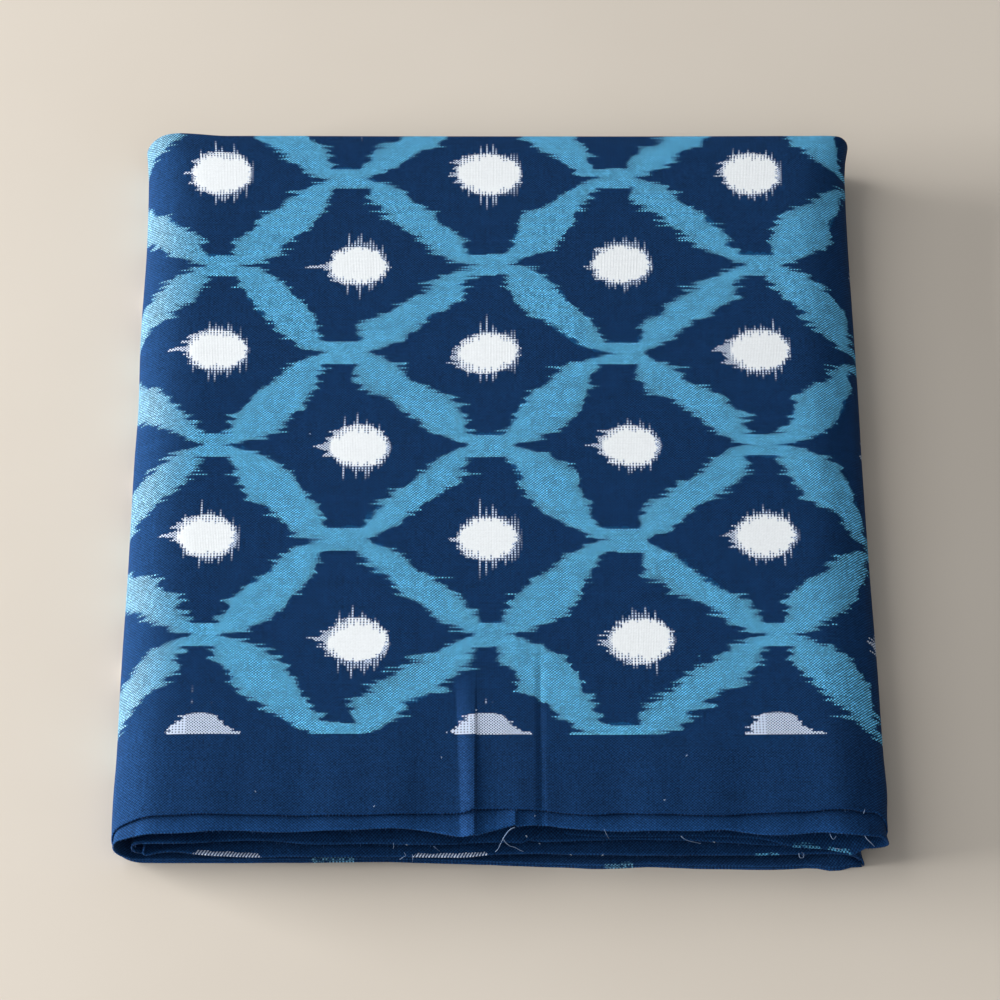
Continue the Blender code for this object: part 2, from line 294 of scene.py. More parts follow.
def table_value(places, values, place):
    """A smooth curve through the values, read at a place."""
    last = len(places) - 1
    i = 0
    while i < last - 1 and places[i + 1] < place:
        i += 1

    def slope(k):
        low, high = max(0, k - 1), min(last, k + 1)
        return (values[high] - values[low]) / (places[high] - places[low])

    width = places[i + 1] - places[i]
    t = min(1.0, max(0.0, (place - places[i]) / width))
    return (
        (2 * t ** 3 - 3 * t ** 2 + 1) * values[i]
        + (t ** 3 - 2 * t ** 2 + t) * width * slope(i)
        + (3 * t ** 2 - 2 * t ** 3) * values[i + 1]
        + (t ** 3 - t ** 2) * width * slope(i + 1)
    )


def margins_at(row, x):
    """How far the front edges of plies A and B of a pass reach at x, and how far they hang."""
    places = [margins.x for margins in MARGINS]
    return tuple(
        table_value(places, [getattr(margins, row.name + part) for margins in MARGINS], x / MILLIMETRE) * MILLIMETRE
        for part in ("_a", "_b", "_hang")
    )


def pass_places(row):
    """The places along a pass in its own direction, with closer ones at the creases of the top pass."""
    step = TOP_STEP if row.name == "top" else RUN_STEP
    steps = round(abs(row.end_x - row.start_x) / step)
    places = [row.start_x + (row.end_x - row.start_x) * i / steps for i in range(steps + 1)]
    if row.name == "top":
        near = [x + side * KINK_STEP for crease in CREASES for x, height in crease.section for side in (-1, 0, 1)]
        places = [x for x in places if min(abs(x - n) for n in near) > TOP_STEP / 3]
        for x in near:
            if min(abs(x - place) for place in places) > CLOSEST_STEP:
                places.append(x)
    return sorted(places, reverse=row.end_x < row.start_x)


def pass_stations(row):
    """Stations along a pass. The outer ply is on top where the pass runs to the right."""
    heading = math.copysign(1, row.end_x - row.start_x)
    level = row.level
    return [
        Station(row.name, x, LEVEL_Z[level], 0.0, heading, LEVEL_OFFSET[level], margins_at(row, x), row.back, level)
        for x in pass_places(row)
    ]


def turn_stations(row, following):
    """Stations round the turn that joins a pass to the following one: two quarters of an ellipse."""
    heading = math.copysign(1, row.end_x - row.start_x)
    low_z, high_z = LEVEL_Z[row.level], LEVEL_Z[following.level]
    climb = math.copysign(1, high_z - low_z)
    radius = abs(high_z - low_z) / 2
    far_x = row.end_x + heading * radius
    steps = WRAP_STEPS if abs(following.level - row.level) > 1 else TURN_STEPS
    here = margins_at(row, row.end_x)
    there = margins_at(following, following.start_x)
    side = -heading * climb
    stations = []
    for i in range(1, steps):
        angle = math.pi * i / steps
        centre_x = row.end_x if angle < math.pi / 2 else following.start_x
        radius_x = abs(far_x - centre_x)
        normal = Vector((heading * radius * math.sin(angle), -climb * radius_x * math.cos(angle))).normalized()
        share = soft_step(i / steps)
        offset = LEVEL_OFFSET[row.level] + share * (LEVEL_OFFSET[following.level] - LEVEL_OFFSET[row.level])
        x = centre_x + heading * radius_x * math.sin(angle)
        z = (low_z + high_z) / 2 - climb * radius * math.cos(angle)
        offset += row.nose * math.sin(angle) ** 2
        margins = tuple(a + share * (b - a) for a, b in zip(here, there))
        back = row.back + share * (following.back - row.back)
        level = row.level + (following.level - row.level) * (1 - math.cos(angle)) / 2
        out = side * normal.x, side * normal.y
        stations.append(Station(row.name + "_turn", x, z, *out, offset, margins, back, level))
    return stations


def droop_stations(row):
    """Stations round the short bend in which the last pass ends."""
    stations = []
    for i in range(1, DROOP_STEPS + 1):
        angle = DROOP_ANGLE * i / DROOP_STEPS
        x = row.end_x + DROOP_RADIUS * math.sin(angle)
        z = LEVEL_Z[row.level] - DROOP_RADIUS * (1 - math.cos(angle))
        out = math.sin(angle), math.cos(angle)
        offset, margins = LEVEL_OFFSET[row.level], margins_at(row, x)
        stations.append(Station(row.name + "_droop", x, z, *out, offset, margins, row.back, row.level))
    return stations


def pair_stations():
    """All stations of the pair, from one free end of the cloth to the other."""
    stations = []
    for row, following in zip(PASSES, PASSES[1:]):
        stations += pass_stations(row) + turn_stations(row, following)
    return stations + pass_stations(PASSES[-1]) + droop_stations(PASSES[-1])


def ply_shares():
    """Where a ply has its points, as shares of its depth: close together at the front and wide at the back."""
    places = [0.0]
    step = FIRST_STEP_Y
    while places[-1] < PACKET_DEPTH:
        places.append(places[-1] + step)
        step = min(LARGEST_STEP_Y, step * STEP_GROWTH)
    return [place / places[-1] for place in places]


def margin_lift(station, from_edge):
    """How far the loose margins of a pair stand off their flat place."""
    freedom = soft_step(station.level)
    margin = soft_step(1 - from_edge / MARGIN_LENGTH)
    phase = MARGIN_PHASE * station.level
    wave = math.sin(2 * math.pi * station.x / MARGIN_PERIOD + phase)
    wave += SHORT_WAVE * math.sin(2 * math.pi * station.x / SHORT_PERIOD + SHORT_PHASE * phase)
    hang = station.margins[2]
    if hang > 0:
        hang *= max(0.0, 1 - from_edge / HANG_LENGTH) ** 2
    else:
        hang *= soft_step(from_edge / BULGE_RISE) * soft_step((BULGE_LENGTH - from_edge) / BULGE_RISE)
    return freedom * MARGIN_WAVE * margin * wave - hang


def pair_profile(station, shares):
    """Points across the cloth as (y, offset, v, from_edge): ply A, the half-fold at the back, and ply B."""
    reach_a, reach_b, hang = station.margins
    offset = station.offset
    fold_y = BACK_Y + station.back - offset - SHEET_THICKNESS / 2
    front_a = FRONT_Y - reach_a
    front_b = FRONT_Y - reach_b
    fold_v = fold_y - FRONT_Y
    arc = math.pi * offset
    points = []
    for share in shares:
        y = front_a + (fold_y - front_a) * share
        points.append((y, offset, y - FRONT_Y, y - front_a))
    for i in range(1, HALF_FOLD_STEPS):
        angle = math.pi * i / HALF_FOLD_STEPS
        y = fold_y + offset * math.sin(angle)
        points.append((y, offset * math.cos(angle), fold_v + offset * angle, y - front_a))
    for share in reversed(shares):
        y = front_b + (fold_y - front_b) * share
        points.append((y, -offset, 2 * fold_v + arc - (y - FRONT_Y), y - front_b))
    return points


def crease_height(x, y, ply):
    """Height of the creases and press lines at a place on the top pass."""
    height = 0.0
    for crease in CREASES:
        if ply not in crease.plies:
            continue
        start, end = crease.section[0][0], crease.section[-1][0]
        if not start < x < end:
            continue
        for (left, low), (right, high) in zip(crease.section, crease.section[1:]):
            if left <= x <= right:
                along = soft_step((crease.length - (y - FRONT_Y)) / crease.fade)
                height += (low + (high - low) * (x - left) / (right - left)) * along
                break
    return height


def settle(x, y, z, level, ply):
    """Where a point of the square-built packet lies once the packet has settled."""
    lowest_z = SHEET_THICKNESS / 2
    side = soft_step(1 - (HALF_WIDTH - abs(x)) / SIDE_SINK_WIDTH)
    side *= 1 - CORNER_LIFT * soft_step(1 - (BACK_Y - y) / CORNER_LIFT_LENGTH)
    right = max(0.0, 1 - (HALF_WIDTH - x) / RIGHT_SINK_WIDTH) ** 2
    wave = math.sin(2 * math.pi * x / SURFACE_PERIOD_X + SURFACE_PHASE_X)
    wave *= math.cos(2 * math.pi * y / SURFACE_PERIOD_Y + SURFACE_PHASE_Y)
    scale = 1 - SIDE_SINK * side - RIGHT_SINK * right + SURFACE_WAVE * wave
    top_share = soft_step(level - TOP_LEVEL + 1)
    relief = RELIEF * noise.noise(Vector((x / RELIEF_SIZE, y / (2 * RELIEF_SIZE), RELIEF_SEED)))
    rise = CORNER_RISE * soft_step((abs(x) - CORNER_RISE_X) / (HALF_WIDTH - CORNER_RISE_X))
    rise *= soft_step(1 - (BACK_Y - y) / CORNER_RISE_LENGTH)
    settled_z = lowest_z + (z - lowest_z) * scale + (crease_height(x, y, ply) + relief + rise) * top_share
    sides = list(zip(*SIDES))
    inset = table_value(sides[0], sides[1 if x < 0 else 2], (y - FRONT_Y) / MILLIMETRE) * MILLIMETRE
    hollow = BACK_HOLLOW * soft_step(1 - (BACK_Y - y) / BACK_HOLLOW_LENGTH)
    hollow *= soft_step((x - THICK_CORNER_X) / THICK_CORNER_LENGTH + 1)
    return x * (1 - inset / HALF_WIDTH), y - hollow, max(settled_z, lowest_z)


def station_points(station, shares):
    """The sheet's points at a station as (place, v, from_edge), in the frame."""
    points = []
    for y, offset, v, from_edge in pair_profile(station, shares):
        x = station.x + station.out_x * offset
        z = station.z + station.out_z * offset + margin_lift(station, from_edge)
        x, y, z = settle(x, y, z, station.level, "a" if offset > 0 else "b")
        points.append((Vector((x, y - CENTRE_Y, z)), v, from_edge))
    return points


def sheet_grid():
    """The stations with their u, and the sheet's points as rows of (place, u, v, from_edge)."""
    stations = pair_stations()
    shares = ply_shares()
    u = 0.0
    outer = None
    us = []
    for station in stations:
        place = Vector((station.x + station.out_x * station.offset, station.z + station.out_z * station.offset))
        if outer is not None:
            u += (place - outer).length
        outer = place
        us.append(u)
    middle = min((i for i, s in enumerate(stations) if s.part == "top"), key=lambda i: abs(stations[i].x))
    shift = stations[middle].x - us[middle]
    us = [u + shift for u in us]
    rows = [
        [(place, u, v, from_edge) for place, v, from_edge in station_points(station, shares)]
        for station, u in zip(stations, us)
    ]
    return stations, us, rows


def add_object(name, data):
    """An object put in the scene."""
    made = bpy.data.objects.new(name, data)
    bpy.context.scene.collection.objects.link(made)
    return made


def mesh_object(name, bm):
    """A mesh object made of a bmesh."""
    mesh = bpy.data.meshes.new(name)
    bm.to_mesh(mesh)
    bm.free()
    return add_object(name, mesh)


def make_sheet(rows):
    """The cloth itself: a grid bent onto the folds, with its thread coordinates and its thickness."""
    along = len(rows) - 1
    across = len(rows[0]) - 1
    bm = bmesh.new()
    bmesh.ops.create_grid(bm, x_segments=along, y_segments=across, size=0.5)
    threads = bm.loops.layers.uv.new("threads")
    margins = bm.loops.layers.uv.new("margins")
    for vert in bm.verts:
        place, u, v, from_edge = rows[round((vert.co.x + 0.5) * along)][round((vert.co.y + 0.5) * across)]
        for loop in vert.link_loops:
            loop[threads].uv = (u, v)
            loop[margins].uv = (u, from_edge)
        vert.co = place
    bmesh.ops.recalc_face_normals(bm, faces=bm.faces)
    sheet = mesh_object("ikat_cloth", bm)
    sheet.data.shade_smooth()
    solid = sheet.modifiers.new("thickness", "SOLIDIFY")
    solid.thickness = SHEET_THICKNESS
    solid.offset = 0.0
    return sheet


def add_strand(bm, points, radius, sides=4, tip=0.5):
    """A closed round strand along some points, thinner towards its end."""
    rings = []
    across = Vector((0.31, 0.27, 0.91))
    for i, point in enumerate(points):
        along = (points[min(i + 1, len(points) - 1)] - points[max(i - 1, 0)]).normalized()
        side = along.cross(across).normalized()
        other = along.cross(side)
        size = radius * (1 - (1 - tip) * i / (len(points) - 1))
        rings.append([
            bm.verts.new(point + size * (math.cos(turn) * side + math.sin(turn) * other))
            for turn in (2 * math.pi * k / sides for k in range(sides))
        ])
    for ring, following in zip(rings, rings[1:]):
        for k in range(sides):
            n = (k + 1) % sides
            bm.faces.new((ring[k], ring[n], following[n], following[k]))
    bm.faces.new(rings[0])
    bm.faces.new(reversed(rings[-1]))


def smooth_path(points, parts):
    """A rounder path through some points, in millimetres from the middle of the front, as places in the frame."""
    count = (len(points) - 1) * parts
    numbers = list(range(len(points)))
    path = []
    for i in range(count + 1):
        x, reach, z = (table_value(numbers, [point[k] for point in points], i / parts) * MILLIMETRE for k in range(3))
        path.append(Vector((x, FRONT_Y - reach - CENTRE_Y, z)))
    return path


def strand_piece(name, bm, material):
    """One piece made of strands."""
    bmesh.ops.recalc_face_normals(bm, faces=bm.faces)
    piece = mesh_object(name, bm)
    piece.data.shade_smooth()
    piece.data.materials.append(material)
    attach(piece, BODY)
    return piece


def make_loose_threads():
    """The loose threads that hang out of the cut edges."""
    bm = bmesh.new()
    for radius, points in LOOSE_THREADS:
        add_strand(bm, smooth_path(points, 5), radius * MILLIMETRE)
    return strand_piece("loose_threads", bm, strand_material("loose_cotton", (96, 124, 166), (150, 172, 204)))


def make_thread_ends(rows):
    """Short ends of threads along the cut edges of both plies."""
    luck = random.Random(41)
    bm = bmesh.new()
    last = len(rows[0]) - 1
    for edge, inner in ((0, 1), (last, last - 1)):
        wait = luck.uniform(*END_SPACING)
        for row, following in zip(rows, rows[1:]):
            start, end = row[edge][0], following[edge][0]
            length = (end - start).length
            while wait < length:
                root = start.lerp(end, wait / length)
                out = (row[edge][0] - row[inner][0]).normalized()
                reach = luck.choice(END_LENGTHS) * luck.uniform(0.7, 1.3)
                lean = Vector((luck.uniform(-0.5, 0.5), 0.0, luck.uniform(-0.5, 0.3)))
                points = [
                    root - 0.0003 * out,
                    root + reach * (0.5 * out + 0.2 * lean),
                    root + reach * (0.85 * out + 0.8 * lean),
                ]
                if min(point.z for point in points) > ENDS_ABOVE:
                    add_strand(bm, points, END_RADIUS, sides=3, tip=0.4)
                wait += luck.uniform(*END_SPACING)
            wait -= length
    return strand_piece("thread_ends", bm, strand_material("cut_ends", (26, 50, 92), (62, 92, 142)))


def make_lint(cloth):
    """Specks of lint, each a few short curled fibres."""
    luck = random.Random(17)
    bm = bmesh.new()
    for x, reach, z in LINT:
        place = Vector((x * MILLIMETRE, FRONT_Y - reach * MILLIMETRE - CENTRE_Y, 0.0))
        if z is None:
            place.z = cloth.ray_cast(place + Vector((0, 0, 0.1)), Vector((0, 0, -1)))[1].z + LINT_RISE
        else:
            place.z = z * MILLIMETRE
        for i in range(3):
            spread = [Vector([luck.uniform(-LINT_SPREAD, LINT_SPREAD) for k in range(3)]) for j in range(3)]
            fibre = [place + spread[0], place + 0.4 * spread[1], place + spread[2]]
            add_strand(bm, fibre, LINT_RADIUS, sides=3, tip=0.7)
    return strand_piece("lint", bm, strand_material("lint_fibre", (120, 150, 190), (190, 205, 222)))


class Field:
    """A number that varies over a surface: a shader socket that takes plain arithmetic."""

    def __init__(self, socket):
        self.socket = socket
        self.tree = socket.id_data

    def math(self, operation, *others, clamp=False):
        return math_field(self.tree, operation, self, *others, clamp=clamp)

    __add__ = __radd__ = partialmethod(math, "ADD")
    __sub__ = partialmethod(math, "SUBTRACT")
    __mul__ = __rmul__ = partialmethod(math, "MULTIPLY")
    __truediv__ = partialmethod(math, "DIVIDE")
    __pow__ = partialmethod(math, "POWER")
    at_least = partialmethod(math, "MAXIMUM")
    at_most = partialmethod(math, "MINIMUM")
    size = partialmethod(math, "ABSOLUTE")
    # 1 where this is more than another, and 0 elsewhere
    above = partialmethod(math, "GREATER_THAN")
    # The same, kept between 0 and 1
    clamped = partialmethod(math, "ADD", 0.0, clamp=True)
    # How far this is from the nearest whole number
    from_whole = partialmethod(math, "PINGPONG", 0.5)

    def __rsub__(self, other):
        return math_field(self.tree, "SUBTRACT", other, self)

    def soft_above(self, width):
        """0 where this is well below 0, 1 well above 0, and a straight rise over a width between."""
        return (self / width + 0.5).clamped()


def new_node(tree, kind, inputs=None, **settings):
    """A node with its settings and its inputs, by name or number: fields, other nodes' sockets and constants."""
    node = tree.nodes.new("ShaderNode" + kind)
    for name, value in settings.items():
        setattr(node, name, value)
    for name, value in (inputs or {}).items():
        if isinstance(value, Field):
            value = value.socket
        if isinstance(value, bpy.types.NodeSocket):
            tree.links.new(value, node.inputs[name])
        else:
            node.inputs[name].default_value = value
    return node


def math_field(tree, operation, *values, clamp=False):
    """A Math node on numbers and fields."""
    node = new_node(tree, "Math", dict(enumerate(values)), operation=operation, use_clamp=clamp)
    return Field(node.outputs[0])


def vector_of(x, y):
    """A vector socket made of two fields."""
    return new_node(x.tree, "CombineXYZ", {0: x, 1: y}).outputs[0]


def smooth_noise(x, y, detail=1.0, roughness=0.5):
    """Three unlike smooth noises of two fields, each about -0.5 to 0.5."""
    inputs = {"Vector": vector_of(x, y), "Scale": 1.0, "Detail": detail, "Roughness": roughness}
    node = new_node(x.tree, "TexNoise", inputs, noise_dimensions="2D")
    parts = new_node(x.tree, "SeparateColor", {0: node.outputs["Color"]})
    return [Field(part) - 0.5 for part in parts.outputs]


def chance(tree, dimensions, **inputs):
    """A number from 0 to 1 that follows no rule, but is the same wherever the inputs are the same."""
    return Field(new_node(tree, "TexWhiteNoise", inputs, noise_dimensions=dimensions).outputs["Value"])


def curve_field(place, points):
    """A smooth curve through points, read at a field. Places and values lie between 0 and 0.5."""
    node = new_node(place.tree, "FloatCurve", {"Value": place * 2.0})
    curve = node.mapping.curves[0]
    doubled = [[2 * value for value in point] for point in points]
    curve.points[0].location, curve.points[1].location = doubled[0], doubled[-1]
    for point in doubled[1:-1]:
        curve.points.new(*point)
    node.mapping.update()
    return Field(node.outputs[0]) / 2.0


def mix_colour(share, first, second):
    """Two colours, each a colour or a socket, mixed by a field."""
    return new_node(share.tree, "Mix", {0: share, 6: first, 7: second}, data_type="RGBA").outputs[2]


def colour_times(colour, factor):
    """A colour socket multiplied by a field, or by a constant red, green and blue."""
    operation, name = ("SCALE", "Scale") if isinstance(factor, Field) else ("MULTIPLY", 1)
    return new_node(colour.id_data, "VectorMath", {0: colour, name: factor}, operation=operation).outputs[0]


def srgb(red, green, blue):
    """A colour given as on a screen, 0 to 255, in the linear values that a shader takes."""
    def linear(value):
        value /= 255
        return value / 12.92 if value <= 0.04045 else ((value + 0.055) / 1.055) ** 2.4

    return (linear(red), linear(green), linear(blue), 1.0)


def new_material(name, roughness, specular):
    """A material, its node tree and its shader."""
    material = bpy.data.materials.new(name)
    material.use_nodes = True
    shader = material.node_tree.nodes["Principled BSDF"]
    shader.inputs["Roughness"].default_value = roughness
    shader.inputs["Specular IOR Level"].default_value = specular
    return material, material.node_tree, shader


def mottle_field(tree, scale, detail):
    """A smooth noise over an object, about 0 to 1."""
    place = new_node(tree, "TexCoord").outputs["Object"]
    node = new_node(tree, "TexNoise", {"Vector": place, "Scale": scale, "Detail": detail})
    return Field(node.outputs["Fac"])


def add_bump(shader, height, strength, distance):
    """Fine relief in a shader from a field of heights."""
    bump = new_node(height.tree, "Bump", {"Height": height, "Strength": strength, "Distance": distance})
    height.tree.links.new(bump.outputs[0], shader.inputs["Normal"])


# Threads that run along X, and threads that run along Y
LENGTHWAYS_NAVY = srgb(18, 55, 98)
CROSSWAYS_NAVY = srgb(9, 34, 70)
LENGTHWAYS_BLUE = srgb(100, 182, 223)
CROSSWAYS_BLUE = srgb(20, 82, 128)
# White where both sets were left undyed, and where only one was
WHITE = srgb(235, 240, 244)
SOFT_WHITE = srgb(199, 213, 236)
# Painted light on the fold at the left, which faces the low light from the left: navy paler, and blue paler and
# duller
FOLD_LIGHT_NAVY = (1.65, 1.30, 1.22)
FOLD_LIGHT_BLUE = (1.42, 0.74, 0.62)
# Navy under the painted highlights on the creases
CREASE_HIGHLIGHT_NAVY = (2.75, 1.90, 1.78)

# The edge of a band, from a crossing of two bands to the next one down and across: how far down in repeats, and how
# far across the band reaches there, which is never more than LEAF_END. Within BAR of a crossing's row the bands run
# together.
BAND_EDGE = (
    (0.0, 0.050), (0.024, 0.10), (0.058, 0.15), (0.10, 0.20), (0.16, 0.25), (0.20, 0.30), (0.255, 0.35),
    (0.32, 0.40), (0.39, 0.43), (0.44, 0.45), (0.50, 0.47),
)
BAR = 0.06
LEAF_END = 0.465
# Every other band is a leaf: it swells, and ends short of its crossing. These are shares of a repeat along it, where
# it changes over LEAF_RAMP, and how much wider or narrower one of its edges gets there.
LEAF_SWELL = 0.043
LEAF_PHASE = 0.04
LEAF_RAMP = 0.06
EARLY_TO, EARLY_WIDER = 0.13, 0.030
START_TO, START_NARROWER = 0.64, 0.022
LATE_FROM, LATE_WIDER, LATE_NARROWER, LATE_TILT = 0.772, 0.026, 0.068, 0.45
# The dots' radii along X and Y, in the threads along X and in those along Y. The last row of dots is taller.
DOT_RADII = (0.0090, 0.0086)
CROSS_DOT_RADII = (0.0100, 0.0087)
LAST_ROW_V = 0.245
LAST_ROW_TALLER = 0.0011
# How far the dots lie from the middle between the bands, on top and not on the folds. Those of every other row lie
# right and to the front: so far at the origin of u and v, less so much a metre along v and along u, and at most. The
# others lie back: so much a metre from the middle, at most, and in the last row.
TOP_END = 0.118
DOTS_RIGHT, RIGHT_LESS_V, RIGHT_LESS_U, RIGHT_MOST = 0.0043, 0.017, 0.019, 0.0045
DOTS_FRONT, FRONT_LESS_V = 0.0030, 0.017
SIDE_BACK, SIDE_BACK_MOST, LAST_ROW_BACK = 0.017, 0.0018, 0.0023
# The half dots that the border cuts off lie within HALF_ROW of it, in repeats. Within LENS they spread along it.
HALF_ROW = 0.20
LENS = 0.0030
# How far the pattern drifts along u and v, and over what lengths, unlike in the two sets of threads
DRIFT_U, DRIFT_V, DRIFT_SIZE = 0.004, 0.003, 0.055
OTHER_DRIFT_U, OTHER_DRIFT_V, OTHER_DRIFT_SIZE = 0.003, 0.004, 0.048
# Threads were tied for dyeing in bundles and in strands: their widths, and how far their points reach at a band's
# edge, in repeats, and at a dot's, in metres. Here and there a thread runs further.
BUNDLE, STRAND = 0.0032, 0.0016
BAND_BUNDLE_TIP, BAND_STRAND_TIP, BAND_LONG_TIP = 0.048, 0.020, 0.022
DOT_BUNDLE_TIP, DOT_STRAND_TIP, DOT_LONG_TIP = 0.0022, 0.0012, 0.0012
# How much the yarn, the dye, its slubs, the twist, each crossing and the gaps between threads lighten or darken
YARN_TONE, DYE_TONE, SLUB_TONE = 0.26, 0.45, 0.95
TWIST_TONE, SPECK_TONE, GAP_TONE = 0.36, 0.70, 0.55
# How much of the weave shows: in navy, how much more in blue, less in blue far back, and less in white
NAVY_WEAVE, BLUE_WEAVE, FAR_WEAVE, WHITE_WEAVE = 0.17, 0.92, 0.38, 0.13
# The rubbed cut edges are paler, the margins of the top pass get painted light, and so does the fold at the left
RUBBED_EDGE, RUBBED_PALER = 0.0006, 0.6
TOP_MARGIN, TOP_MARGIN_PAINTED_LIGHT = 0.008, 0.40
FOLD_LIGHT_FROM, FOLD_LIGHT_FADE = -0.096, 0.016


def band_field(a, b, spread, other_spread):
    """More than 0 inside the bands. a and b count repeats, and each spread moves one edge of a band out along a."""
    across = a.from_whole()
    down = b.from_whole()

    def reach(place, wider):
        edge = (curve_field(place, BAND_EDGE) + wider).at_most(LEAF_END)
        return edge + place.above(0.5 - BAR) * 10.0

    first = reach(down, spread) - across
    second = reach(0.5 - down, other_spread) - (0.5 - across)
    return first.at_most(second)


def leaf_shape(a, u):
    """How much wider a band is at each of its two edges."""
    place = a.math("FRACT")
    swell = ((a + LEAF_PHASE) * (-2 * math.pi)).math("SINE").at_least(0.0) * LEAF_SWELL
    late = ((place - LATE_FROM) / LEAF_RAMP).clamped()
    early = ((EARLY_TO - place) / LEAF_RAMP).clamped()
    start = ((START_TO - place) / LEAF_RAMP).clamped() * place.above(0.5)
    first = swell + late * LATE_WIDER - start * START_NARROWER
    second = swell + early * EARLY_WIDER - late * (u * LATE_TILT + LATE_NARROWER)
    return first, second


def dot_places(u, v, last_row, half_dots):
    """How far the dots lie back, and those of every other row right and to the front, in repeats."""
    on_top = ((TOP_END - u.size()) / 0.010).clamped()
    back = (u.size() * SIDE_BACK).at_most(SIDE_BACK_MOST).at_least(last_row * LAST_ROW_BACK) / REPEAT_Y
    right = (DOTS_RIGHT - v * RIGHT_LESS_V - u * RIGHT_LESS_U).at_least(0.0).at_most(RIGHT_MOST) / REPEAT_X
    front = (DOTS_FRONT - v * FRONT_LESS_V).at_least(0.0) / REPEAT_Y
    return back * (1.0 - half_dots), right * on_top, front * on_top


def dot_field(a, b, places, radii, spread_x, spread_y):
    """More than 0 inside the dots between the bands. The radii and spreads are in metres."""
    back, right, front = places
    across = a.from_whole()
    down = (b + back).from_whole()
    other_across = (a - right).from_whole()
    other_down = (b - front).from_whole()

    def inside(from_x, from_y):
        x = (from_x * REPEAT_X - spread_x).at_least(0.0) / radii[0]
        y = (from_y * REPEAT_Y - spread_y).at_least(0.0) / radii[1]
        return 1.0 - (x ** DOT_POWER + y ** DOT_POWER)

    return inside(0.5 - across, down).at_least(inside(other_across, 0.5 - other_down))


def bundle_points(place, amount):
    """0 at the borders of each bundle of threads, rising to amount at its middle thread."""
    return (1.0 - (place.math("FRACT") - 0.5).size() * 2.0) * amount


def mark_fields(u, v, from_edge, station_u):
    """Where the white marks and the blue marks of the lower margins are, as two fields of 0 or 1."""
    on_ply_b = v.above(PACKET_DEPTH)
    ply_fields = {"a": 1.0 - on_ply_b, "b": on_ply_b, "ab": 1.0}
    found = {"white": [], "blue": []}
    for mark in MARKS:
        across = (u - station_u(mark.part, mark.x * MILLIMETRE)) / (mark.half_width * MILLIMETRE)
        ends = ((1.0 - across * across) * 4.0).at_most(1.0)
        room = ends * (mark.depth * MILLIMETRE) - from_edge
        found[mark.dye].append(room.above(0.0) * ply_fields[mark.plies])
    return [reduce(Field.at_least, found[dye]) for dye in ("white", "blue")]


